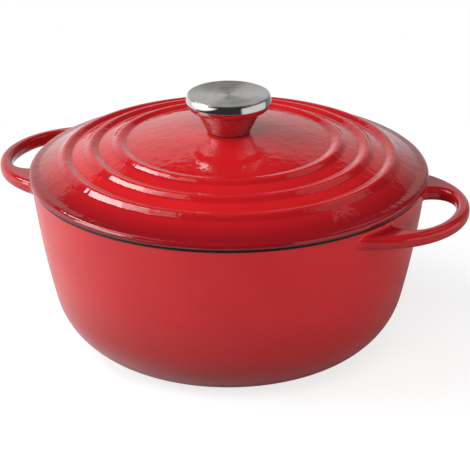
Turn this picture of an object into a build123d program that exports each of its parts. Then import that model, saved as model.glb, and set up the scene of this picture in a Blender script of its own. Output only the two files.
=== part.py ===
from build123d import *

import os

# A red enamelled cast iron dutch oven, nominally 26 cm across: a bowed pot with two cast loop handles,
# and a stepped lid that carries a stainless steel knob, held by one screw from below.
# Millimetres, +Z up. The origin is the middle of the pot's base, and the handles lie along X.

# Pot. The wall is one slightly bowed curve, rounded into the base.
POT_HEIGHT = 121.5
RIM_RADIUS = 132.5
WALL_FOOT_RADIUS = 107.4
WALL_BULGE = 3.0
CORNER_RADIUS = 52.0
WALL_THICKNESS = 3.6
FLOOR_THICKNESS = 4.6
RIM_OUTER_ROUND = 2.0
RIM_INNER_ROUND = 0.8
BASE_RECESS_RADIUS = 60.0
BASE_RECESS_DEPTH = 0.8
BASE_RECESS_ROUND = 0.7

# Handles. Each one is a round tongue on the wall with an oval finger hole.
HANDLE_UNDERSIDE = 107.9
HANDLE_THICKNESS = 9.4
LOOP_CENTRE = 104.0
LOOP_RADIUS = 62.4
ROOT_CIRCLE_RADIUS = 130.6
ROOT_FLARE = 18.0
HOLE_CENTRE = 137.5
HOLE_HALF_REACH = 20.0
HOLE_HALF_WIDTH = 35.8
HANDLE_EDGE_ROUND = 3.6
HANDLE_ROOT_ROUND = 1.8
TOUCH = 0.01
LEVEL_MARGIN = 1.0

# Lid. Three raised rings step down from a domed middle to a sloping flange with a flatter brim.
LID_RADIUS = 134.0
LID_SEAT_GAP = 0.1
LID_EDGE_HEIGHT = 4.6
LID_SHOULDER_ROUND = 3.2
LID_EDGE_ROUND = 0.9
LID_CROWN = 150.6
LID_THICKNESS = 4.0
RING_CRESTS = ((72.6, 145.8), (91.0, 141.8), (108.8, 136.9))
CREST_WIDTH = 2.4
CREST_INNER_ROUND = 4.5
CREST_OUTER_ROUND = 2.6
RISERS = ((2.6, 2.2), (3.2, 2.9), (3.7, 3.4))
RISER_FOOT_ROUND = 5.0
FLANK_RUN = 4.0
FLANK_RISE = 1.7
FLANK_FOOT_ROUND = 2.2
BRIM_INNER_RADIUS = 127.0
BRIM_RISE = 1.0
BRIM_ROUND = 8.0
SKIRT_OUTER_RADIUS = 127.0
SKIRT_WIDTH = 4.2
SKIRT_DEPTH = 4.5
SKIRT_ROUND = 1.2
UNDERSIDE_EDGE_HEIGHT = 2.6
PAD_RADIUS = 13.0
PAD_DEPTH = 0.9

# Knob. A turned shell holds a dished cap and stands on a gasket.
GASKET_RADIUS = 13.6
GASKET_THICKNESS = 0.8
STEM_BASE_RADIUS = 14.5
STEM_NECK_RADIUS = 21.5
STEM_NECK_HEIGHT = 14.1
STEM_NECK_ROUND = 1.2
RIM_UNDERSIDE_RISE = 0.25
KNOB_RADIUS = 28.4
KNOB_WIDEST_HEIGHT = 20.6
KNOB_EDGE_RADIUS = 27.5
KNOB_HEIGHT = 25.6
SHELL_THICKNESS = 1.6
CAP_RADIUS = 26.9
CAP_CLEARANCE = 0.05
CAP_THICKNESS = 1.2
CAP_DISH = 0.8
LEDGE_WIDTH = 1.2
LEDGE_FALL = 0.4
LEDGE_DEPTH = 7.0

# Fastening. One M6 pan head screw, with a spring washer and a flat washer under its head.
SCREW_RADIUS = 3.0
SCREW_LENGTH = 22.0
SCREW_CLEARANCE = 0.4
THREAD_CLEARANCE = 0.03
SCREW_HEAD_RADIUS = 5.8
SCREW_HEAD_HEIGHT = 3.6
SCREW_HEAD_ROUND = 1.6
DRIVE_SLOT_WIDTH = 1.2
DRIVE_SLOT_LENGTH = 6.0
DRIVE_SLOT_DEPTH = 1.8
FLAT_WASHER_RADIUS = 9.0
FLAT_WASHER_THICKNESS = 1.4
LOCK_WASHER_RADIUS = 5.7
LOCK_WASHER_THICKNESS = 1.6
LOCK_WASHER_SPLIT = 0.8
INSERT_RADIUS = 8.0
INSERT_HEIGHT = 13.0
INSERT_CHAMFER = 0.8

LID_SEAT = POT_HEIGHT + LID_SEAT_GAP
UNDERSIDE_CROWN = LID_CROWN - LID_THICKNESS
PAD_FACE = UNDERSIDE_CROWN - PAD_DEPTH
KNOB_BASE = LID_CROWN + GASKET_THICKNESS
KNOB_TOP = KNOB_BASE + KNOB_HEIGHT
BORE_RADIUS = SCREW_RADIUS + SCREW_CLEARANCE
FLAT_WASHER_BOTTOM = PAD_FACE - FLAT_WASHER_THICKNESS
LOCK_WASHER_BOTTOM = FLAT_WASHER_BOTTOM - LOCK_WASHER_THICKNESS
SCREW_HEAD_BOTTOM = LOCK_WASHER_BOTTOM - SCREW_HEAD_HEIGHT
UPWARDS = (Align.CENTER, Align.CENTER, Align.MIN)


def bowl_section(inset, floor):
    """Half section of the bowl, from the axis out to a line inset from its skin."""
    with BuildSketch(Plane.XZ) as section:
        with BuildLine():
            base = Line((0, floor), (WALL_FOOT_RADIUS - inset, floor))
            wall = SagittaArc(base @ 1, (RIM_RADIUS - inset, POT_HEIGHT), -WALL_BULGE)
            Polyline(wall @ 1, (0, POT_HEIGHT), (0, floor))
        make_face()
        fillet(vertices().sort_by_distance(base @ 1)[0], CORNER_RADIUS - inset)
    return section.sketch


def ring_edges(piece, top):
    """Round edges of the highest or lowest flat face, from the inner one to the outer one."""
    flats = piece.faces().filter_by(Plane.XY).sort_by(Axis.Z)
    face = flats[-1] if top else flats[0]
    return face.edges().filter_by(GeomType.CIRCLE).sort_by(SortBy.LENGTH)


def flat_ring(outer_radius, inner_radius, bottom, thickness):
    """A flat ring round the screw's axis."""
    with BuildPart(Plane.XY.offset(bottom)) as washer:
        Cylinder(outer_radius, thickness, align=UPWARDS)
        Cylinder(inner_radius, thickness, align=UPWARDS, mode=Mode.SUBTRACT)
    return washer.part


# The bowl as a solid, before it is hollowed: the handles are trimmed to it.
with BuildPart() as bowl:
    add(bowl_section(0, 0))
    revolve(axis=Axis.Z)

# Pot: the hollow casting, with a rounded rim and a shallow recess under its base.
with BuildPart() as pot_body:
    add(bowl.part)
    add(bowl_section(WALL_THICKNESS, FLOOR_THICKNESS))
    revolve(axis=Axis.Z, mode=Mode.SUBTRACT)
    fillet(ring_edges(pot_body, top=True)[-1], RIM_OUTER_ROUND)
    fillet(ring_edges(pot_body, top=True)[0], RIM_INNER_ROUND)
    Cylinder(BASE_RECESS_RADIUS, BASE_RECESS_DEPTH, align=UPWARDS, mode=Mode.SUBTRACT)
    fillet(ring_edges(pot_body, top=False)[0], BASE_RECESS_ROUND)

# Handle: the tongue's edges are rounded and its root blends into the wall, then the bowl is taken away.
wall_skin = bowl.faces().filter_by(GeomType.REVOLUTION)[0]


def lies_on_wall(edge):
    """True for an edge that runs along the bowl's wall."""
    return all(wall_skin.distance_to(Vertex(edge @ place)) < TOUCH for place in (0, 0.5, 1))


with BuildPart() as rooted_loop:
    with BuildSketch(Plane.XY.offset(HANDLE_UNDERSIDE)) as loop_plan:
        Circle(ROOT_CIRCLE_RADIUS)
        with Locations((LOOP_CENTRE, 0)):
            Circle(LOOP_RADIUS)
        fillet(loop_plan.vertices(), ROOT_FLARE)
        with Locations((HOLE_CENTRE, 0)):
            Ellipse(HOLE_HALF_REACH, HOLE_HALF_WIDTH, mode=Mode.SUBTRACT)
    extrude(amount=HANDLE_THICKNESS)
    fillet(rooted_loop.edges().filter_by(Plane.XY), HANDLE_EDGE_ROUND)
    add(bowl.part)
    lowest = HANDLE_UNDERSIDE - LEVEL_MARGIN
    highest = HANDLE_UNDERSIDE + HANDLE_THICKNESS + LEVEL_MARGIN
    handle_level = rooted_loop.edges().filter_by_position(Axis.Z, lowest, highest)
    fillet(handle_level.filter_by(lies_on_wall), HANDLE_ROOT_ROUND)

with BuildPart() as right_handle:
    add(rooted_loop.part)
    add(bowl.part, mode=Mode.SUBTRACT)

with BuildPart() as left_handle:
    mirror(right_handle.part, about=Plane.YZ)

# Lid: each ring rises to a narrow crest and drops in a short riser, each corner with its own rounding.
# A skirt under the flange centres the lid inside the pot.
ring_corners = []
for (crest_radius, crest_height), (riser_run, riser_drop) in zip(RING_CRESTS, RISERS):
    riser_top = crest_radius + CREST_WIDTH
    ring_corners += [
        ((crest_radius - FLANK_RUN, crest_height - FLANK_RISE), FLANK_FOOT_ROUND),
        ((crest_radius, crest_height), CREST_INNER_ROUND),
        ((riser_top, crest_height), CREST_OUTER_ROUND),
        ((riser_top + riser_run, crest_height - riser_drop), RISER_FOOT_ROUND),
    ]
edge_top = LID_SEAT + LID_EDGE_HEIGHT
ring_corners.append(((BRIM_INNER_RADIUS, edge_top + BRIM_RISE), BRIM_ROUND))
rings = [corner for corner, rounding in ring_corners]

skirt_inner_radius = SKIRT_OUTER_RADIUS - SKIRT_WIDTH
skirt_bottom = LID_SEAT - SKIRT_DEPTH
edge_and_skirt = [
    (LID_RADIUS, edge_top),
    (LID_RADIUS, LID_SEAT),
    (SKIRT_OUTER_RADIUS, LID_SEAT),
    (SKIRT_OUTER_RADIUS, skirt_bottom),
    (skirt_inner_radius, skirt_bottom),
    (skirt_inner_radius, LID_SEAT + UNDERSIDE_EDGE_HEIGHT),
]

with BuildPart() as lid:
    with BuildSketch(Plane.XZ):
        with BuildLine():
            TangentArc((0, LID_CROWN), rings[0], tangent=(1, 0))
            Polyline(*rings, *edge_and_skirt)
            TangentArc((0, UNDERSIDE_CROWN), edge_and_skirt[-1], tangent=(1, 0))
            Line((0, UNDERSIDE_CROWN), (0, LID_CROWN))
        make_face()
        for corner, rounding in ring_corners:
            fillet(vertices().sort_by_distance(corner)[0], rounding)
        fillet(vertices().sort_by_distance(edge_and_skirt[0])[0], LID_SHOULDER_ROUND)
        fillet(vertices().sort_by_distance(edge_and_skirt[1])[0], LID_EDGE_ROUND)
        fillet(vertices().group_by(Axis.Y)[0], SKIRT_ROUND)
    revolve(axis=Axis.Z)
    with Locations((0, 0, PAD_FACE)):
        Cylinder(PAD_RADIUS, LID_CROWN - PAD_FACE, align=UPWARDS)
    with Locations((0, 0, LID_CROWN)):
        Hole(BORE_RADIUS)

# Gasket: the thin heat-proof ring that keeps the steel off the enamel.
with BuildPart() as knob_gasket:
    add(flat_ring(GASKET_RADIUS, BORE_RADIUS, LID_CROWN, GASKET_THICKNESS))

# Stem: the polished shell, a cone that flares into a round rim, open at the top for the cap.
neck_height = KNOB_BASE + STEM_NECK_HEIGHT
widest_height = KNOB_BASE + KNOB_WIDEST_HEIGHT
shell_floor = KNOB_BASE + SHELL_THICKNESS
ledge_height = KNOB_TOP - CAP_THICKNESS
ledge_radius = CAP_RADIUS - LEDGE_WIDTH
with BuildPart() as knob_stem:
    with BuildSketch(Plane.XZ) as stem_section:
        with BuildLine():
            Polyline((0, KNOB_BASE), (STEM_BASE_RADIUS, KNOB_BASE), (STEM_NECK_RADIUS, neck_height))
            Spline(
                (STEM_NECK_RADIUS, neck_height),
                (KNOB_RADIUS, widest_height),
                tangents=((1, RIM_UNDERSIDE_RISE), (0, 1)),
            )
            TangentArc((KNOB_RADIUS, widest_height), (KNOB_EDGE_RADIUS, KNOB_TOP), tangent=(0, 1))
            Polyline((KNOB_EDGE_RADIUS, KNOB_TOP), (0, KNOB_TOP), (0, KNOB_BASE))
        make_face()
        fillet(vertices().sort_by_distance((STEM_NECK_RADIUS, neck_height))[0], STEM_NECK_ROUND)
        with BuildLine():
            Polyline(
                (0, shell_floor),
                (STEM_BASE_RADIUS - SHELL_THICKNESS, shell_floor),
                (STEM_NECK_RADIUS - SHELL_THICKNESS, neck_height + SHELL_THICKNESS),
                (ledge_radius, ledge_height - LEDGE_DEPTH),
                (ledge_radius, ledge_height - LEDGE_FALL),
                (CAP_RADIUS, ledge_height),
                (CAP_RADIUS, KNOB_TOP),
                (0, KNOB_TOP),
                close=True,
            )
        make_face(mode=Mode.SUBTRACT)
    revolve(axis=Axis.Z)
    with Locations((0, 0, shell_floor)):
        Hole(BORE_RADIUS)

# Cap: the satin dished disc that closes the top of the knob.
cap_edge = CAP_RADIUS - CAP_CLEARANCE
cap_middle = KNOB_TOP - CAP_DISH
with BuildPart() as knob_cap:
    with BuildSketch(Plane.XZ):
        with BuildLine():
            TangentArc((0, cap_middle), (cap_edge, KNOB_TOP), tangent=(1, 0))
            Line((cap_edge, KNOB_TOP), (cap_edge, ledge_height))
            TangentArc((0, cap_middle - CAP_THICKNESS), (cap_edge, ledge_height), tangent=(1, 0))
            Line((0, cap_middle - CAP_THICKNESS), (0, cap_middle))
        make_face()
    revolve(axis=Axis.Z)

# Insert: the threaded bush welded to the floor of the shell, which takes the screw.
with BuildPart() as knob_insert:
    add(flat_ring(INSERT_RADIUS, SCREW_RADIUS + THREAD_CLEARANCE, shell_floor, INSERT_HEIGHT))
    chamfer(ring_edges(knob_insert, top=True)[-1], INSERT_CHAMFER)

# Screw: the head is under the lid, and its shank runs up through the lid into the insert.
with BuildPart() as knob_screw:
    with Locations((0, 0, SCREW_HEAD_BOTTOM)):
        Cylinder(SCREW_HEAD_RADIUS, SCREW_HEAD_HEIGHT, align=UPWARDS)
    fillet(knob_screw.edges().sort_by(Axis.Z)[0], SCREW_HEAD_ROUND)
    with Locations((0, 0, LOCK_WASHER_BOTTOM)):
        Cylinder(SCREW_RADIUS, SCREW_LENGTH, align=UPWARDS)
    with Locations((0, 0, SCREW_HEAD_BOTTOM)):
        Box(DRIVE_SLOT_LENGTH, DRIVE_SLOT_WIDTH, DRIVE_SLOT_DEPTH, align=UPWARDS, mode=Mode.SUBTRACT)
        Box(DRIVE_SLOT_WIDTH, DRIVE_SLOT_LENGTH, DRIVE_SLOT_DEPTH, align=UPWARDS, mode=Mode.SUBTRACT)

# Washers: the flat one spreads the load on the lid, and the split one keeps the screw tight.
with BuildPart() as flat_washer:
    add(flat_ring(FLAT_WASHER_RADIUS, BORE_RADIUS, FLAT_WASHER_BOTTOM, FLAT_WASHER_THICKNESS))

with BuildPart() as lock_washer:
    add(flat_ring(LOCK_WASHER_RADIUS, BORE_RADIUS, LOCK_WASHER_BOTTOM, LOCK_WASHER_THICKNESS))
    with Locations((LOCK_WASHER_RADIUS / 2, 0, LOCK_WASHER_BOTTOM)):
        Box(LOCK_WASHER_RADIUS, LOCK_WASHER_SPLIT, LOCK_WASHER_THICKNESS, align=UPWARDS, mode=Mode.SUBTRACT)

pieces = {
    "pot_body": pot_body,
    "left_handle": left_handle,
    "right_handle": right_handle,
    "lid": lid,
    "knob_gasket": knob_gasket,
    "knob_stem": knob_stem,
    "knob_cap": knob_cap,
    "knob_insert": knob_insert,
    "knob_screw": knob_screw,
    "flat_washer": flat_washer,
    "lock_washer": lock_washer,
}
os.makedirs("parts", exist_ok=True)
for name, piece in pieces.items():
    piece.part.label = name
    export_step(piece.part, f"parts/{name}.step")
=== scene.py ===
import math

import bmesh
import bpy
from mathutils import Matrix, Vector, geometry


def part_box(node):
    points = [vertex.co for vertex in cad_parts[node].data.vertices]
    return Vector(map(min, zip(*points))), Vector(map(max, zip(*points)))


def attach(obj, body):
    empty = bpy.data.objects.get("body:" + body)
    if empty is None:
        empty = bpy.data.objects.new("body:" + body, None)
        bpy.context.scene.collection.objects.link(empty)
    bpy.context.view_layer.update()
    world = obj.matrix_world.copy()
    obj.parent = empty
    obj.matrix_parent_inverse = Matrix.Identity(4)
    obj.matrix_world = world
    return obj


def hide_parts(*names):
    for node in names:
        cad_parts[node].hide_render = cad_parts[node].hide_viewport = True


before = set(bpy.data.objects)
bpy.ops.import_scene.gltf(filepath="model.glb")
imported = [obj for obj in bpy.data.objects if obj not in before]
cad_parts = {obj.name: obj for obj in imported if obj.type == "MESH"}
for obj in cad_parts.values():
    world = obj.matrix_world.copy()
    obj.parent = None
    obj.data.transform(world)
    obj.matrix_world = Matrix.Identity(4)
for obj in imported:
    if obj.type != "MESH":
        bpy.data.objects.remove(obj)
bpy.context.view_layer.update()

# The pot is one iron casting: a slightly bowed wall that runs through a big round corner into a flat foot.
# It is sprayed and fired with red enamel outside and cream enamel inside, and the rim where the lid sits
# keeps only its matt black ground coat.
MM = 0.001
POT_STEPS = 192
CORNER_SEGMENTS = 6
WELD_DISTANCE = 0.001
RIM_RADIUS = 132.5
WALL_FOOT_RADIUS = 107.4
WALL_BULGE = 3.0
CORNER_RADIUS = 52.0
WALL_THICKNESS = 3.6
FLOOR_THICKNESS = 4.6
RIM_OUTER_ROUND = 1.9
RIM_INNER_ROUND = 0.8
RECESS_RADIUS = 60.0
RECESS_DEPTH = 0.8
RECESS_ROUND = 0.5
SKIN_POINTS = 28


def arc(centre, radius, start, end, points):
    """Points of a round stretch of an outline, between two angles."""
    angles = [start + (end - start) * step / (points - 1) for step in range(points)]
    return [(centre.x + radius * math.cos(angle), centre.y + radius * math.sin(angle)) for angle in angles]


def turned(name, outline, steps, closed=False):
    """A piece turned from its half section. A point is a radius and a height in millimetres, and a third
    number is how far its rounding reaches along both of its edges."""
    section = bmesh.new()
    corners = [section.verts.new((point[0] * MM, 0, point[1] * MM)) for point in outline]
    followers = corners[1:] + corners[:1] if closed else corners[1:]
    for here, there in zip(corners, followers):
        section.edges.new((here, there))
    for corner, point in zip(corners, outline):
        if len(point) == 3:
            bmesh.ops.bevel(section, geom=[corner], offset=point[2] * MM, offset_type="OFFSET",
                            segments=CORNER_SEGMENTS, profile=0.5, affect="VERTICES", material=-1)
    bmesh.ops.spin(section, geom=section.verts[:] + section.edges[:], cent=(0, 0, 0), axis=(0, 0, 1),
                   angle=math.tau, steps=steps, use_merge=True)
    bmesh.ops.remove_doubles(section, verts=section.verts, dist=WELD_DISTANCE * MM)
    bmesh.ops.recalc_face_normals(section, faces=section.faces)
    for face in section.faces:
        face.smooth = True
    mesh = bpy.data.meshes.new(name)
    section.to_mesh(mesh)
    section.free()
    piece = bpy.data.objects.new(name, mesh)
    bpy.context.scene.collection.objects.link(piece)
    return piece


rim_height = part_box("pot_body")[1].z / MM
wall_chord = Vector((RIM_RADIUS - WALL_FOOT_RADIUS, rim_height))
wall_radius = (wall_chord.length_squared / 4 + WALL_BULGE ** 2) / (2 * WALL_BULGE)
wall_outward = Vector((wall_chord.y, -wall_chord.x)).normalized()
wall_middle = Vector((WALL_FOOT_RADIUS, 0)) + wall_chord / 2
wall_centre = wall_middle - wall_outward * (wall_radius - WALL_BULGE)
corner_drop = wall_centre.y - CORNER_RADIUS
corner_reach = math.sqrt((wall_radius - CORNER_RADIUS) ** 2 - corner_drop ** 2)
corner_centre = Vector((wall_centre.x + corner_reach, CORNER_RADIUS))
blend_angle = math.atan2(-corner_drop, corner_centre.x - wall_centre.x)
rim_angle = math.atan2(rim_height - wall_centre.y, RIM_RADIUS - wall_centre.x)
inner_corner = CORNER_RADIUS - WALL_THICKNESS
inner_wall = wall_radius - WALL_THICKNESS
floor_angle = -math.asin((CORNER_RADIUS - FLOOR_THICKNESS) / inner_corner)

outer_skin = arc(corner_centre, CORNER_RADIUS, -math.pi / 2, blend_angle, SKIN_POINTS)
outer_skin += arc(wall_centre, wall_radius, blend_angle, rim_angle, SKIN_POINTS)[1:-1]
inner_skin = arc(wall_centre, inner_wall, rim_angle, blend_angle, SKIN_POINTS)[1:]
inner_skin += arc(corner_centre, inner_corner, blend_angle, floor_angle, SKIN_POINTS)[1:]
pot_outline = [
    (0, RECESS_DEPTH),
    (RECESS_RADIUS, RECESS_DEPTH, RECESS_ROUND),
    (RECESS_RADIUS, 0, RECESS_ROUND / 2),
    *outer_skin,
    (RIM_RADIUS, rim_height, RIM_OUTER_ROUND),
    (RIM_RADIUS - WALL_THICKNESS, rim_height, RIM_INNER_ROUND),
    *inner_skin,
    (0, FLOOR_THICKNESS),
]
pot = turned("enamelled_pot", pot_outline, POT_STEPS)
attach(pot, "pot")
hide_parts("pot_body")

# Fired enamel is glass melted onto the iron. It lies in faint waves with a fine orange peel on them, its
# colour drifts with its thickness, and gas from the casting leaves patches of pinholes.
PEEL_SCALE = 150
WAVE_SCALE = 55
DRIFT_SCALE = 38
PINHOLE_SCALE = 330
PINHOLE_REACH = 0.12
PATCH_SCALE = 70
PATCH_LOW = 0.55
PATCH_HIGH = 0.65
NOISE_LOW = 0.3
NOISE_HIGH = 0.7


def start_group(name, inputs, outputs):
    """An empty node group with its named values in and out."""
    group = bpy.data.node_groups.new(name, "ShaderNodeTree")
    for label, kind in inputs:
        group.interface.new_socket(label, in_out="INPUT", socket_type=kind)
    for label in outputs:
        group.interface.new_socket(label, in_out="OUTPUT", socket_type="NodeSocketFloat")
    return group, group.nodes.new("NodeGroupInput").outputs, group.nodes.new("NodeGroupOutput").inputs


def add(tree, kind, links=None, **settings):
    """A node with its settings, and with its inputs linked to other nodes or set to plain values."""
    node = tree.nodes.new(kind)
    for label, value in settings.items():
        setattr(node, label, value)
    for socket, value in (links or {}).items():
        if isinstance(value, bpy.types.NodeSocket):
            tree.links.new(value, node.inputs[socket])
        else:
            node.inputs[socket].default_value = value
    return node


def mix(tree, factor, first, second):
    """The colour between two colours."""
    return add(tree, "ShaderNodeMix", {0: factor, 6: first, 7: second}, data_type="RGBA").outputs[2]


def spread(tree, value, low, high, to_low, to_high):
    """A value eased from one range into another, held at both ends."""
    node = add(tree, "ShaderNodeMapRange", {0: value, 1: low, 2: high, 3: to_low, 4: to_high},
               interpolation_type="SMOOTHSTEP")
    return node.outputs[0]


def sums(tree, operation, first, second):
    """One step of arithmetic between two values."""
    return add(tree, "ShaderNodeMath", {0: first, 1: second}, operation=operation).outputs[0]


def noise(tree, place, scale, detail):
    """A soft random value, from about 0 to 1."""
    return add(tree, "ShaderNodeTexNoise", {"Vector": place, "Scale": scale, "Detail": detail}).outputs[0]


glaze, given, result = start_group(
    "fired_glaze",
    [("Place", "NodeSocketVector"), ("Peel", "NodeSocketFloat"), ("Wave", "NodeSocketFloat")],
    ["Drift", "Height", "Pinholes"],
)
peel = noise(glaze, given["Place"], PEEL_SCALE, detail=2)
wave = noise(glaze, given["Place"], WAVE_SCALE, detail=1)
drift = noise(glaze, given["Place"], DRIFT_SCALE, detail=4)
patch = noise(glaze, given["Place"], PATCH_SCALE, detail=2)
holes = add(glaze, "ShaderNodeTexVoronoi", {"Vector": given["Place"], "Scale": PINHOLE_SCALE})
dots = spread(glaze, holes.outputs["Distance"], PINHOLE_REACH, PINHOLE_REACH * 2, 1.0, 0.0)
in_patch = spread(glaze, patch, PATCH_LOW, PATCH_HIGH, 0.0, 1.0)
peel_height = sums(glaze, "MULTIPLY", peel, given["Peel"])
wave_height = sums(glaze, "MULTIPLY", wave, given["Wave"])
glaze.links.new(spread(glaze, drift, NOISE_LOW, NOISE_HIGH, 0.0, 1.0), result["Drift"])
glaze.links.new(sums(glaze, "ADD", peel_height, wave_height), result["Height"])
glaze.links.new(sums(glaze, "MULTIPLY", dots, in_patch), result["Pinholes"])


def start_material(name):
    """A new material: its tree, its shader and the piece's own coordinates."""
    material = bpy.data.materials.new(name)
    material.use_nodes = True
    tree = material.node_tree
    return material, tree, tree.nodes["Principled BSDF"], add(tree, "ShaderNodeTexCoord").outputs["Object"]


def glazed(tree, shader, place, peel, wave):
    """Lays the fired glaze on a material, and gives its drift and its pinholes to colour it by."""
    skin = add(tree, "ShaderNodeGroup", {"Place": place, "Peel": peel, "Wave": wave}, node_tree=glaze)
    bump = add(tree, "ShaderNodeBump", {"Height": skin.outputs["Height"], "Distance": MM, "Strength": 1.0})
    tree.links.new(bump.outputs[0], shader.inputs["Normal"])
    return skin.outputs


def height_up(tree, place):
    """How high a point is."""
    return add(tree, "ShaderNodeSeparateXYZ", {0: place}).outputs[2]


# The outside of the pot is sprayed with red enamel, which fires to a silky shine; low down its red is
# painted deeper, as painted shade.
# Where the pot stands, its foot is scuffed grey.
POT_RED = (0.62, 0.0135, 0.0175, 1)
POT_DEEP_RED = (0.59, 0.0120, 0.0165, 1)
POT_FOOT_SHADE_RED = (0.46, 0.0092, 0.0132, 1)
FOOT_SHADE_LOW = 30
FOOT_SHADE_HIGH = 76
SCUFF_GREY = (0.16, 0.13, 0.12, 1)
SCUFF_SCALE = 420
SCUFF_LOW = 0.42
SCUFF_HIGH = 0.58
SCUFF_ROUGH = 0.7
FOOT_BOTTOM = 0.2
FOOT_TOP = 0.9
POT_PEEL = 0.012
POT_WAVE = 0.10
POT_ROUGH = 0.31
POT_SMOOTH = 0.28
ENAMEL_IOR = 1.52

pot_red, tree, shader, place = start_material("red_enamel_silky")
skin = glazed(tree, shader, place, POT_PEEL, POT_WAVE)
height = height_up(tree, place)
on_foot = spread(tree, height, FOOT_BOTTOM * MM, FOOT_TOP * MM, 1.0, 0.0)
scratches = noise(tree, place, SCUFF_SCALE, detail=6)
scuff = sums(tree, "MULTIPLY", on_foot, spread(tree, scratches, SCUFF_LOW, SCUFF_HIGH, 0.0, 1.0))
# Painted shade: the red darkens towards the foot.
shaded_low_down = spread(tree, height, FOOT_SHADE_LOW * MM, FOOT_SHADE_HIGH * MM, 1.0, 0.0)
red = mix(tree, skin["Drift"], POT_DEEP_RED, POT_RED)
red = mix(tree, shaded_low_down, red, POT_FOOT_SHADE_RED)
tree.links.new(mix(tree, scuff, red, SCUFF_GREY), shader.inputs["Base Color"])
sheen = spread(tree, skin["Drift"], 0.0, 1.0, POT_ROUGH, POT_SMOOTH)
rough = sums(tree, "MAXIMUM", sheen, sums(tree, "MULTIPLY", scuff, SCUFF_ROUGH))
tree.links.new(rough, shader.inputs["Roughness"])
shader.inputs["IOR"].default_value = ENAMEL_IOR
pot.data.materials.append(pot_red)

# The inside of the pot and of the lid has cream enamel, poured in and fired to a soft gloss.
# It is a shade warmer where it has pooled towards the floor, with a few brown specks.
CREAM = (0.80, 0.735, 0.62, 1)
WARM_CREAM = (0.70, 0.615, 0.475, 1)
SPECK_BROWN = (0.30, 0.21, 0.13, 1)
SPECK_STRENGTH = 0.6
CREAM_POOL_LOW = 5
CREAM_POOL_HIGH = 60
CREAM_POOL_LEAST = 0.25
CREAM_SMOOTH = 0.16
CREAM_ROUGH = 0.24

cream, tree, shader, place = start_material("cream_enamel")
skin = glazed(tree, shader, place, POT_PEEL, POT_WAVE)
height = height_up(tree, place)
pooling = spread(tree, height, CREAM_POOL_LOW * MM, CREAM_POOL_HIGH * MM, 1.0, CREAM_POOL_LEAST)
shade = mix(tree, sums(tree, "MULTIPLY", skin["Drift"], pooling), CREAM, WARM_CREAM)
specks = sums(tree, "MULTIPLY", skin["Pinholes"], SPECK_STRENGTH)
tree.links.new(mix(tree, specks, shade, SPECK_BROWN), shader.inputs["Base Color"])
tree.links.new(spread(tree, skin["Drift"], 0.0, 1.0, CREAM_SMOOTH, CREAM_ROUGH), shader.inputs["Roughness"])
pot.data.materials.append(cream)

# The rim is wiped bare of colour before firing, so that the lid doesn't chip it. Its matt black ground coat
# lets the grain of the sand casting show through.
GROUND_BLACK = (0.010, 0.009, 0.009, 1)
GROUND_GREY = (0.028, 0.025, 0.024, 1)
GRAIN_SCALE = 900
GRAIN_HEIGHT = 0.06
GRAIN_LOW = 0.35
GRAIN_HIGH = 0.65
GROUND_SMOOTH = 0.42
GROUND_ROUGH = 0.60
GROUND_SHINE = 0.2
ENAMEL_TOP = 119.5
INSIDE_SLOT = 1
BARE_SLOT = 2

ground_coat, tree, shader, place = start_material("matt_black_ground_coat")
grain = noise(tree, place, GRAIN_SCALE, detail=3)
tone = spread(tree, grain, GRAIN_LOW, GRAIN_HIGH, 0.0, 1.0)
tree.links.new(mix(tree, tone, GROUND_BLACK, GROUND_GREY), shader.inputs["Base Color"])
rough = spread(tree, grain, NOISE_LOW, NOISE_HIGH, GROUND_SMOOTH, GROUND_ROUGH)
tree.links.new(rough, shader.inputs["Roughness"])
shader.inputs["Specular IOR Level"].default_value = GROUND_SHINE
grit = add(tree, "ShaderNodeBump", {"Height": grain, "Distance": GRAIN_HEIGHT * MM, "Strength": 1.0})
tree.links.new(grit.outputs[0], shader.inputs["Normal"])
pot.data.materials.append(ground_coat)

for face in pot.data.polygons:
    if face.center.z > ENAMEL_TOP * MM:
        face.material_index = BARE_SLOT
    elif face.normal.z > 0 and face.normal.xy.dot(face.center.xy) <= 0:
        face.material_index = INSIDE_SLOT

# The handles are loops cast in one with the pot at rim height, with an oval hole for the fingers.
# Their red is painted a little deeper than the wall's, partly as painted shade, and is glossier. At the
# roots it runs out into the wall's red.
HANDLE_RED = (0.45, 0.0092, 0.0138, 1)
HANDLE_DEEP_RED = (0.40, 0.0078, 0.0120, 1)
HANDLE_PEEL = 0.06
HANDLE_WAVE = 0.10
HANDLE_ROUGH = 0.14
HANDLE_SMOOTH = 0.10
ROOT_START = 131
ROOT_END = 136


def distance_out(tree, place):
    """How far a point is from the pot's axis."""
    parts = add(tree, "ShaderNodeSeparateXYZ", {0: place}).outputs
    flat = add(tree, "ShaderNodeCombineXYZ", {0: parts[0], 1: parts[1]}).outputs[0]
    return add(tree, "ShaderNodeVectorMath", {0: flat}, operation="LENGTH").outputs["Value"]


handle_red, tree, shader, place = start_material("red_enamel_handles")
skin = glazed(tree, shader, place, HANDLE_PEEL, HANDLE_WAVE)
at_root = spread(tree, distance_out(tree, place), ROOT_START * MM, ROOT_END * MM, 1.0, 0.0)
red = mix(tree, skin["Drift"], HANDLE_DEEP_RED, HANDLE_RED)
# Partly painted shade: the handles' red is set deeper than the wall's.
tree.links.new(mix(tree, at_root, red, POT_RED), shader.inputs["Base Color"])
sheen = spread(tree, skin["Drift"], 0.0, 1.0, HANDLE_ROUGH, HANDLE_SMOOTH)
tree.links.new(sheen, shader.inputs["Roughness"])
shader.inputs["IOR"].default_value = ENAMEL_IOR
for side in ("left_handle", "right_handle"):
    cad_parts[side].material_slots[0].material = handle_red

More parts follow.
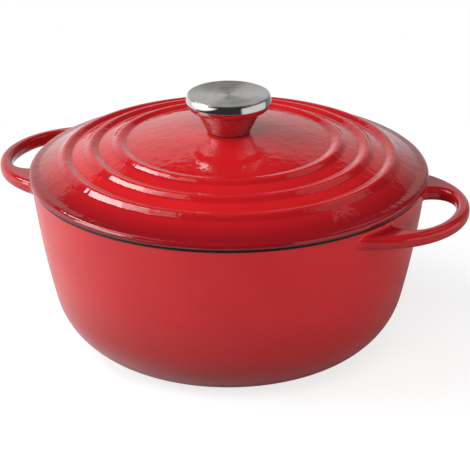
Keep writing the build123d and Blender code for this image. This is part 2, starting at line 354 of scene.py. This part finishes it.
# The lid is a second casting. Three rings step down from its domed middle to a sloping flange with a
# flatter brim, and a skirt below keeps it centred in the pot. It is enamelled red on top and cream below,
# and its seat keeps the bare ground coat.
LID_STEPS = 192
LID_RADIUS = 134.0
LID_SEAT = 121.6
LID_EDGE_TOP = 126.2
LID_SHOULDER_REACH = 2.7
LID_EDGE_REACH = 0.9
LID_CROWN = 150.6
RING_CRESTS = ((72.6, 145.8), (91.0, 141.8), (108.8, 136.9))
CREST_WIDTH = 2.4
CREST_REACH = 1.0
RISERS = ((3.1, 2.65), (3.3, 3.0), (3.6, 3.3))
RISER_FOOT_REACH = 1.0
FLANK_RUN = 4.0
FLANK_RISE = 1.7
FLANK_FOOT_REACH = 0.8
BRIM_INNER_RADIUS = 127.0
BRIM_HEIGHT = 127.2
BRIM_REACH = 1.4
SKIRT_OUTER_RADIUS = 127.0
SKIRT_WIDTH = 4.2
SKIRT_BOTTOM = 117.1
SKIRT_REACH = 1.2
UNDERSIDE_EDGE = 124.2
UNDERSIDE_CROWN = 146.6
PAD_RADIUS = 13.0
PAD_FACE = 145.7
BORE_RADIUS = 3.4
DOME_POINTS = 30


def dome(crown, edge_radius, edge_height, first_radius):
    """Points down a dome, from close to its middle out to its edge."""
    sagitta = crown - edge_height
    radius = (edge_radius ** 2 + sagitta ** 2) / (2 * sagitta)
    start = math.acos(first_radius / radius)
    end = math.acos(edge_radius / radius)
    return arc(Vector((0, crown - radius)), radius, start, end, DOME_POINTS)


first_crest = RING_CRESTS[0]
lid_outline = dome(LID_CROWN, first_crest[0] - FLANK_RUN, first_crest[1] - FLANK_RISE, BORE_RADIUS)[:-1]
for (ring_radius, ring_height), (riser_run, riser_drop) in zip(RING_CRESTS, RISERS):
    riser_top = ring_radius + CREST_WIDTH
    lid_outline += [
        (ring_radius - FLANK_RUN, ring_height - FLANK_RISE, FLANK_FOOT_REACH),
        (ring_radius, ring_height, CREST_REACH),
        (riser_top, ring_height, CREST_REACH),
        (riser_top + riser_run, ring_height - riser_drop, RISER_FOOT_REACH),
    ]
skirt_inner = SKIRT_OUTER_RADIUS - SKIRT_WIDTH
lid_outline += [
    (BRIM_INNER_RADIUS, BRIM_HEIGHT, BRIM_REACH),
    (LID_RADIUS, LID_EDGE_TOP, LID_SHOULDER_REACH),
    (LID_RADIUS, LID_SEAT, LID_EDGE_REACH),
    (SKIRT_OUTER_RADIUS, LID_SEAT),
    (SKIRT_OUTER_RADIUS, SKIRT_BOTTOM, SKIRT_REACH),
    (skirt_inner, SKIRT_BOTTOM, SKIRT_REACH),
]
lid_outline += reversed(dome(UNDERSIDE_CROWN, skirt_inner, UNDERSIDE_EDGE, PAD_RADIUS))
lid_outline += [(PAD_RADIUS, PAD_FACE), (BORE_RADIUS, PAD_FACE)]
lid = turned("enamelled_lid", lid_outline, LID_STEPS, closed=True)
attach(lid, "lid")
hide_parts("lid")

# The lid's red enamel is glossier than the pot's and darkens over the flange towards the edge.
# Below each ring the riser is painted darker, as painted shade, and black pinholes show near the edge.
LID_RED = (0.62, 0.0125, 0.0165, 1)
LID_DEEP_RED = (0.57, 0.0105, 0.0150, 1)
LID_FLANGE_RED = (0.28, 0.0055, 0.0105, 1)
LID_EDGE_RED = (0.24, 0.0060, 0.0100, 1)
LID_RISER_SHADE_RED = (0.10, 0.0030, 0.0050, 1)
FLANGE_TONE_START = 104
FLANGE_TONE_END = 130
EDGE_TONE_START = 132.6
EDGE_TONE_END = 133.8
RISER_SHADE_DEPTH = 0.32
RISER_SHADE_FADE = 1.6
PINHOLES_START = 126
PINHOLES_END = 131
PINHOLE_STRENGTH = 0.8
LID_PEEL = 0.26
LID_WAVE = 0.20
LID_ROUGH = 0.10
LID_SMOOTH = 0.07
STEEP = 0.3
SKIRT_MARGIN = 1.0

lid_red, tree, shader, place = start_material("red_enamel_glossy")
skin = glazed(tree, shader, place, LID_PEEL, LID_WAVE)
radius = distance_out(tree, place)
red = mix(tree, skin["Drift"], LID_DEEP_RED, LID_RED)
on_flange = spread(tree, radius, FLANGE_TONE_START * MM, FLANGE_TONE_END * MM, 0.0, 1.0)
red = mix(tree, on_flange, red, LID_FLANGE_RED)
on_edge = spread(tree, radius, EDGE_TONE_START * MM, EDGE_TONE_END * MM, 0.0, 1.0)
red = mix(tree, on_edge, red, LID_EDGE_RED)
# Painted shade: each riser below a ring is darkened as if shaded by the ring.
for (ring_radius, _), (riser_run, _) in zip(RING_CRESTS, RISERS):
    riser_top = ring_radius + CREST_WIDTH
    riser_foot = riser_top + riser_run
    starts = spread(tree, radius, riser_top * MM, (riser_top + RISER_SHADE_FADE) * MM, 0.0, RISER_SHADE_DEPTH)
    ends = spread(tree, radius, riser_foot * MM, (riser_foot + RISER_SHADE_FADE) * MM, 1.0, 0.0)
    red = mix(tree, sums(tree, "MULTIPLY", starts, ends), red, LID_RISER_SHADE_RED)
near_edge = spread(tree, radius, PINHOLES_START * MM, PINHOLES_END * MM, 0.0, PINHOLE_STRENGTH)
black_dots = sums(tree, "MULTIPLY", skin["Pinholes"], near_edge)
tree.links.new(mix(tree, black_dots, red, GROUND_BLACK), shader.inputs["Base Color"])
tree.links.new(spread(tree, skin["Drift"], 0.0, 1.0, LID_ROUGH, LID_SMOOTH), shader.inputs["Roughness"])
shader.inputs["IOR"].default_value = ENAMEL_IOR
for finish in (lid_red, cream, ground_coat):
    lid.data.materials.append(finish)
for face in lid.data.polygons:
    face_radius = face.center.xy.length / MM
    below = face.normal.z < -STEEP or face.center.z < LID_SEAT * MM
    if below and face_radius > skirt_inner:
        face.material_index = BARE_SLOT
    elif below or (face.normal.z < STEEP and face_radius < skirt_inner + SKIRT_MARGIN):
        face.material_index = INSIDE_SLOT

# The knob stands on a thin ring of heat-proof rubber, which keeps the steel off the enamel.
# The screw presses it tight, and it is a little smaller than the knob's foot, which hides it from above.
RUBBER = (0.018, 0.017, 0.017, 1)
RUBBER_BLOOM = (0.045, 0.043, 0.042, 1)
RUBBER_GRAIN = 1400
BLOOM_LOW = 0.4
BLOOM_HIGH = 0.7
RUBBER_SMOOTH = 0.62
RUBBER_ROUGH = 0.8

rubber, tree, shader, place = start_material("heat_proof_rubber")
grain = noise(tree, place, RUBBER_GRAIN, detail=3)
bloom = spread(tree, grain, BLOOM_LOW, BLOOM_HIGH, 0.0, 1.0)
tree.links.new(mix(tree, bloom, RUBBER, RUBBER_BLOOM), shader.inputs["Base Color"])
rough = spread(tree, grain, NOISE_LOW, NOISE_HIGH, RUBBER_SMOOTH, RUBBER_ROUGH)
tree.links.new(rough, shader.inputs["Roughness"])
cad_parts["knob_gasket"].material_slots[0].material = rubber

# The knob's shell is turned from stainless steel: a cone that flares into a round rim, polished bright.
# It is hollow, with a ledge inside its mouth where the cap is pressed in.
KNOB_STEPS = 128
KNOB_BASE = 151.4
STEM_BASE_RADIUS = 14.5
STEM_BASE_REACH = 0.6
NECK_RADIUS = 21.5
NECK_HEIGHT = 165.5
NECK_REACH = 0.5
KNOB_RADIUS = 28.4
WIDEST_HEIGHT = 172.0
KNOB_EDGE_RADIUS = 27.5
KNOB_EDGE_REACH = 0.5
LIP_DROP = 0.3
CAP_RADIUS = 26.9
LEDGE_HEIGHT = 175.4
LEDGE_RADIUS = 25.7
LEDGE_FOOT = 168.8
SHELL_THICKNESS = 1.6
RIM_FLARE = 4.6
RIM_FLARE_RISE = 1.15
RIM_UNDER_PULL = 3.0
RIM_UPPER_PULL = 1.6
RIM_LEAN = math.radians(22)
RIM_POINTS = 14


def bow(start, start_pull, end_pull, end):
    """Points of a free curve between two places, pulled towards two others."""
    points = geometry.interpolate_bezier(start, start_pull, end_pull, end, RIM_POINTS)
    return [tuple(point) for point in points]


knob_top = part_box("knob_stem")[1].z / MM
lip_height = knob_top - LIP_DROP
neck = Vector((NECK_RADIUS, NECK_HEIGHT))
widest = Vector((KNOB_RADIUS, WIDEST_HEIGHT))
rim_end = Vector((KNOB_EDGE_RADIUS, lip_height))
neck_pull = neck + Vector((RIM_FLARE, RIM_FLARE_RISE))
rim_end_pull = rim_end + RIM_UPPER_PULL * Vector((math.sin(RIM_LEAN), -math.cos(RIM_LEAN)))
rim_underside = bow(neck, neck_pull, widest - Vector((0, RIM_UNDER_PULL)), widest)
rim_upper = bow(widest, widest + Vector((0, RIM_UPPER_PULL)), rim_end_pull, rim_end)
stem_outline = [
    (BORE_RADIUS, KNOB_BASE),
    (STEM_BASE_RADIUS, KNOB_BASE, STEM_BASE_REACH),
    (NECK_RADIUS, NECK_HEIGHT, NECK_REACH),
    *rim_underside[1:],
    *rim_upper[1:-1],
    (KNOB_EDGE_RADIUS, lip_height, KNOB_EDGE_REACH),
    (CAP_RADIUS, lip_height),
    (CAP_RADIUS, LEDGE_HEIGHT),
    (LEDGE_RADIUS, LEDGE_HEIGHT),
    (LEDGE_RADIUS, LEDGE_FOOT),
    (NECK_RADIUS - SHELL_THICKNESS, NECK_HEIGHT + SHELL_THICKNESS),
    (STEM_BASE_RADIUS - SHELL_THICKNESS, KNOB_BASE + SHELL_THICKNESS),
    (BORE_RADIUS, KNOB_BASE + SHELL_THICKNESS),
]
stem = turned("knob_shell", stem_outline, KNOB_STEPS, closed=True)
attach(stem, "lid")
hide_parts("knob_stem")

# Turning leaves fine rings on steel, which run round the knob's axis, and handling leaves a faint haze.
# The shell's rim is buffed smoother than its cone.
HAZE_SCALE = 120
RIM_POLISH = 0.35

lathe, given, result = start_group(
    "turning_rings",
    [("Place", "NodeSocketVector"), ("Rings", "NodeSocketFloat")],
    ["Rings", "Haze"],
)
outwards = sums(lathe, "MULTIPLY", distance_out(lathe, given["Place"]), given["Rings"])
upwards = sums(lathe, "MULTIPLY", height_up(lathe, given["Place"]), given["Rings"])
line = add(lathe, "ShaderNodeCombineXYZ", {0: outwards, 1: upwards}).outputs[0]
lathe.links.new(noise(lathe, line, scale=1, detail=2), result["Rings"])
lathe.links.new(noise(lathe, given["Place"], HAZE_SCALE, detail=3), result["Haze"])


def turned_steel(name, dark, light, smooth, rough, rings, depth):
    """Stainless steel with turning rings of a given fineness, and of a depth in millimetres."""
    material, tree, shader, place = start_material(name)
    lines = add(tree, "ShaderNodeGroup", {"Place": place, "Rings": rings}, node_tree=lathe).outputs
    tone = spread(tree, lines["Rings"], NOISE_LOW, NOISE_HIGH, 0.0, 1.0)
    tree.links.new(mix(tree, tone, dark, light), shader.inputs["Base Color"])
    dulled = spread(tree, lines["Haze"], NOISE_LOW, NOISE_HIGH, smooth, rough)
    tree.links.new(dulled, shader.inputs["Roughness"])
    bump = add(tree, "ShaderNodeBump", {"Height": lines["Rings"], "Distance": depth * MM, "Strength": 1.0})
    tree.links.new(bump.outputs[0], shader.inputs["Normal"])
    shader.inputs["Metallic"].default_value = 1.0
    return material, tree, shader


polished, tree, shader = turned_steel(
    "polished_steel", dark=(0.56, 0.55, 0.54, 1), light=(0.64, 0.63, 0.62, 1),
    smooth=0.22, rough=0.30, rings=2600, depth=0.0006)
brushed = shader.inputs["Roughness"].links[0].from_socket
height = height_up(tree, add(tree, "ShaderNodeTexCoord").outputs["Object"])
buffed = spread(tree, height, NECK_HEIGHT * MM, (NECK_HEIGHT + RIM_FLARE) * MM, 1.0, RIM_POLISH)
tree.links.new(sums(tree, "MULTIPLY", brushed, buffed), shader.inputs["Roughness"])
stem.data.materials.append(polished)

# The cap is a dished disc of the same steel, pressed flush into the mouth of the shell.
# It is brushed in circles to a satin finish, so its highlight fans out in a wedge.
CAP_EDGE = 26.85
CAP_DISH = 0.8
CAP_THICKNESS = 1.2
CAP_EDGE_REACH = 0.5
BRUSH_STRETCH = 0.75
BRUSH_TURN = 0.25

cap_top = dome(knob_top - CAP_DISH, CAP_EDGE, knob_top, 0)
cap_below = [(across, up - CAP_THICKNESS) for across, up in reversed(cap_top)]
cap = turned("knob_disc", [*cap_top[:-1], (*cap_top[-1], CAP_EDGE_REACH), *cap_below], KNOB_STEPS)
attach(cap, "lid")
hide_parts("knob_cap")

satin, tree, shader = turned_steel(
    "satin_steel", dark=(0.46, 0.45, 0.43, 1), light=(0.63, 0.615, 0.595, 1),
    smooth=0.30, rough=0.38, rings=3400, depth=0.002)
shader.inputs["Anisotropic"].default_value = BRUSH_STRETCH
shader.inputs["Anisotropic Rotation"].default_value = BRUSH_TURN
circles = add(tree, "ShaderNodeTangent", direction_type="RADIAL", axis="Z")
tree.links.new(circles.outputs[0], shader.inputs["Tangent"])
cap.data.materials.append(satin)

# One screw with a spring washer and a flat washer holds the knob from below. It goes up through the lid
# into a bush that is welded inside the shell. All are plain stainless steel.
plain_steel = turned_steel(
    "plain_steel", dark=(0.42, 0.415, 0.41, 1), light=(0.54, 0.535, 0.53, 1),
    smooth=0.24, rough=0.36, rings=1800, depth=0.004)[0]
for part in ("knob_screw", "flat_washer", "lock_washer", "knob_insert"):
    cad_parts[part].material_slots[0].material = plain_steel

# The pot stands on a round sheet of pale paper. The camera sees it close to white, with the pot's soft
# shadow on it. In the gloss of the enamel its left side is painted whiter than its right, as painted light.
FLOOR_REACH = 0.46
FLOOR_SEGMENTS = 96
FLOOR_PALE = (0.13, 0.13, 0.13, 1)
FLOOR_SHOWN = (0.35, 0.35, 0.35, 1)
FLOOR_GLOW = 0.75
FLOOR_LEFT_GLOSS = (1.0, 1.0, 1.0, 1)
FLOOR_RIGHT_GLOSS = (0.48, 0.48, 0.48, 1)
FLOOR_FADE = 0.25

sheet = bmesh.new()
bmesh.ops.create_circle(sheet, cap_ends=True, segments=FLOOR_SEGMENTS, radius=FLOOR_REACH)
floor_mesh = bpy.data.meshes.new("floor")
sheet.to_mesh(floor_mesh)
sheet.free()
floor = bpy.data.objects.new("floor", floor_mesh)
bpy.context.scene.collection.objects.link(floor)

floor_material, tree, shader, place = start_material("pale_floor")
tree.nodes.remove(shader)
rays = add(tree, "ShaderNodeLightPath").outputs
across = add(tree, "ShaderNodeSeparateXYZ", {0: place}).outputs[0]
# Painted light: in the gloss the sheet brightens towards the left.
rightwards = spread(tree, across, -FLOOR_FADE, FLOOR_FADE, 0.0, 1.0)
gloss_with_painted_light = mix(tree, rightwards, FLOOR_LEFT_GLOSS, FLOOR_RIGHT_GLOSS)
tone = mix(tree, rays["Is Glossy Ray"], FLOOR_PALE, gloss_with_painted_light)
plain = add(tree, "ShaderNodeBsdfDiffuse", {"Color": tone}).outputs[0]
shown = add(tree, "ShaderNodeBsdfDiffuse", {"Color": FLOOR_SHOWN}).outputs[0]
glow = add(tree, "ShaderNodeEmission", {"Strength": FLOOR_GLOW}).outputs[0]
bright = add(tree, "ShaderNodeAddShader", {0: shown, 1: glow}).outputs[0]
either = add(tree, "ShaderNodeMixShader", {0: rays["Is Camera Ray"], 1: plain, 2: bright}).outputs[0]
tree.links.new(either, tree.nodes["Material Output"].inputs["Surface"])
floor.data.materials.append(floor_material)

# The camera stands where the photograph was taken from: in front of the pot, a little to its right, and
# high enough to look down on the lid.
VIEW_AZIMUTH = math.radians(23.4)
VIEW_ELEVATION = math.radians(21.81)
VIEW_DISTANCE = 1.43843
VIEW_HEIGHT = 0.115
AIM_HEIGHT = 0.0750
AIM_RIGHT = 0.0041
VIEW_ROLL = math.radians(-0.12)
VIEW_LENS = 163.43

upward = Vector((0, 0, 1))
view_away = Vector((-math.sin(VIEW_AZIMUTH), math.cos(VIEW_AZIMUTH), 0))
view_right = Vector((math.cos(VIEW_AZIMUTH), math.sin(VIEW_AZIMUTH), 0))
to_eye = upward * math.sin(VIEW_ELEVATION) - view_away * math.cos(VIEW_ELEVATION)
eye = upward * VIEW_HEIGHT + VIEW_DISTANCE * to_eye
aim = upward * AIM_HEIGHT + view_right * AIM_RIGHT
camera_data = bpy.data.cameras.new("camera")
camera_data.lens = VIEW_LENS
camera = bpy.data.objects.new("camera", camera_data)
bpy.context.scene.collection.objects.link(camera)
turn = (aim - eye).to_track_quat("-Z", "Y").to_matrix() @ Matrix.Rotation(VIEW_ROLL, 3, "Z")
camera.matrix_world = Matrix.Translation(eye) @ turn.to_4x4()
bpy.context.scene.camera = camera

# Soft lamps light the pot. The strip on the left draws the long streaks on the lid. It fades out towards
# its near end, so it is made of four lengths end to end. The two fills in front don't show in the gloss.
STRIP_DISTANCE = 2.2
STRIP_WIDTH = 0.42
STRIP_LENGTHS = (
    (-70.5, 42, 0.83, 11.0, 44),
    (-85.5, 52, 0.26, 6.0, 43),
    (-95, 57, 0.32, 3.6, 41),
    (-110, 63, 0.39, 1.5, 36),
)


def softbox(name, azimuth, elevation, distance, width, height, brightness, lean=0, mirrored=True):
    """A soft lamp that faces the pot. Azimuth is measured to the right from straight behind the pot."""
    around = math.radians(azimuth)
    rise = math.radians(elevation)
    level = view_away * math.cos(around) + view_right * math.sin(around)
    spot = upward * VIEW_HEIGHT + distance * (level * math.cos(rise) + upward * math.sin(rise))
    lamp_data = bpy.data.lights.new(name, "AREA")
    lamp_data.shape = "RECTANGLE"
    lamp_data.size = width
    lamp_data.size_y = height
    lamp_data.energy = brightness * math.pi * width * height
    lamp = bpy.data.objects.new(name, lamp_data)
    bpy.context.scene.collection.objects.link(lamp)
    facing = (upward * VIEW_HEIGHT - spot).to_track_quat("-Z", "Y")
    turn = facing.to_matrix() @ Matrix.Rotation(math.radians(lean), 3, "Z")
    lamp.matrix_world = Matrix.Translation(spot) @ turn.to_4x4()
    lamp.visible_camera = False
    lamp.visible_glossy = mirrored


for azimuth, elevation, length, brightness, lean in STRIP_LENGTHS:
    softbox("left_strip", azimuth, elevation, STRIP_DISTANCE, length, STRIP_WIDTH, brightness, lean)
softbox("right_softbox", azimuth=78, elevation=47, distance=2.4, width=1.5, height=1.0, brightness=0.45)
softbox("left_softbox", azimuth=-104, elevation=22, distance=2.3, width=1.3, height=1.4, brightness=6.8)
softbox("front_fill", azimuth=-172, elevation=47, distance=2.5, width=1.4, height=1.2, brightness=4.8,
        mirrored=False)
softbox("front_right_fill", azimuth=130, elevation=12, distance=2.5, width=1.2, height=1.0, brightness=6.8,
        mirrored=False)

# The room: a white wall stands behind the pot, brightest low down and on the left. A low white board stands
# on each side and reaches round to the front, the left one with a slanted end. The rest is dim.
WALL_TOP = math.tan(math.radians(34))
WALL_SLANT = -0.2
WALL_EDGE = 0.04
WALL_BACK = 0.15
WALL_LOW = (1.02, 1.02, 1.02, 1)
WALL_HIGH = (0.62, 0.62, 0.62, 1)
WALL_FADE_FROM = 0.1
WALL_RIGHT = 0.70
WALL_RIGHT_REACH = 0.14
WALL_END = 0.30
WALL_END_START = 0.25
WALL_END_STOP = 0.60
LEFT_BOARD = (1.60, 1.60, 1.60, 1)
LEFT_BOARD_SLANT = 0.75
RIGHT_BOARD = (0.92, 0.92, 0.92, 1)
RIGHT_BOARD_FRONT = 0.57
BOARD_TOP = 0.24
BOARD_BACK = 0.42
BOARD_EDGE = 0.06
ROOM_DIM = (0.04, 0.04, 0.04, 1)
PAPER_WHITE = (1, 1, 1, 1)


def reach(tree, look, direction):
    """How far a look into the room goes in a direction."""
    node = add(tree, "ShaderNodeVectorMath", {0: look, 1: direction}, operation="DOT_PRODUCT")
    return node.outputs["Value"]


def past(tree, value, edge, softness):
    """One where a value is past an edge, zero before it, with a soft change between."""
    return spread(tree, value, edge - softness, edge + softness, 0.0, 1.0)


def short_of(tree, value, edge, softness):
    """One where a value is short of an edge, zero past it, with a soft change between."""
    return spread(tree, value, edge - softness, edge + softness, 1.0, 0.0)


world = bpy.data.worlds.new("studio")
world.use_nodes = True
bpy.context.scene.world = world
tree = world.node_tree
look = add(tree, "ShaderNodeTexCoord").outputs["Generated"]
rise = add(tree, "ShaderNodeSeparateXYZ", {0: look}).outputs[2]
behind = reach(tree, look, view_away)
beside = reach(tree, look, view_right)
up_wall = sums(tree, "DIVIDE", rise, sums(tree, "MAXIMUM", behind, WALL_EDGE))
slanted = sums(tree, "SUBTRACT", up_wall, sums(tree, "MULTIPLY", beside, WALL_SLANT))
standing = spread(tree, behind, 0.0, WALL_BACK, 0.0, 1.0)
on_wall = sums(tree, "MULTIPLY", short_of(tree, slanted, WALL_TOP, WALL_EDGE), standing)
right_part = spread(tree, beside, -WALL_RIGHT_REACH, WALL_RIGHT_REACH, 1.0, WALL_RIGHT)
right_end = spread(tree, beside, WALL_END_START, WALL_END_STOP, 1.0, WALL_END)
lit = sums(tree, "MULTIPLY", on_wall, sums(tree, "MULTIPLY", right_part, right_end))
wall = mix(tree, spread(tree, up_wall, WALL_FADE_FROM, WALL_TOP, 0.0, 1.0), WALL_LOW, WALL_HIGH)
room = mix(tree, lit, ROOM_DIM, wall)
low = short_of(tree, rise, BOARD_TOP, BOARD_EDGE)
on_side = sums(tree, "MULTIPLY", short_of(tree, behind, BOARD_BACK, BOARD_EDGE), low)
leaning = sums(tree, "SUBTRACT", rise, beside)
on_left = sums(tree, "MULTIPLY", on_side, past(tree, leaning, LEFT_BOARD_SLANT, BOARD_EDGE))
on_right = sums(tree, "MULTIPLY", on_side, past(tree, beside, RIGHT_BOARD_FRONT, BOARD_EDGE))
room = mix(tree, on_left, room, LEFT_BOARD)
room = mix(tree, on_right, room, RIGHT_BOARD)
rays = add(tree, "ShaderNodeLightPath").outputs
shown = mix(tree, rays["Is Camera Ray"], room, PAPER_WHITE)
tree.links.new(shown, tree.nodes["Background"].inputs["Color"])

bpy.context.scene.view_settings.view_transform = "Standard"
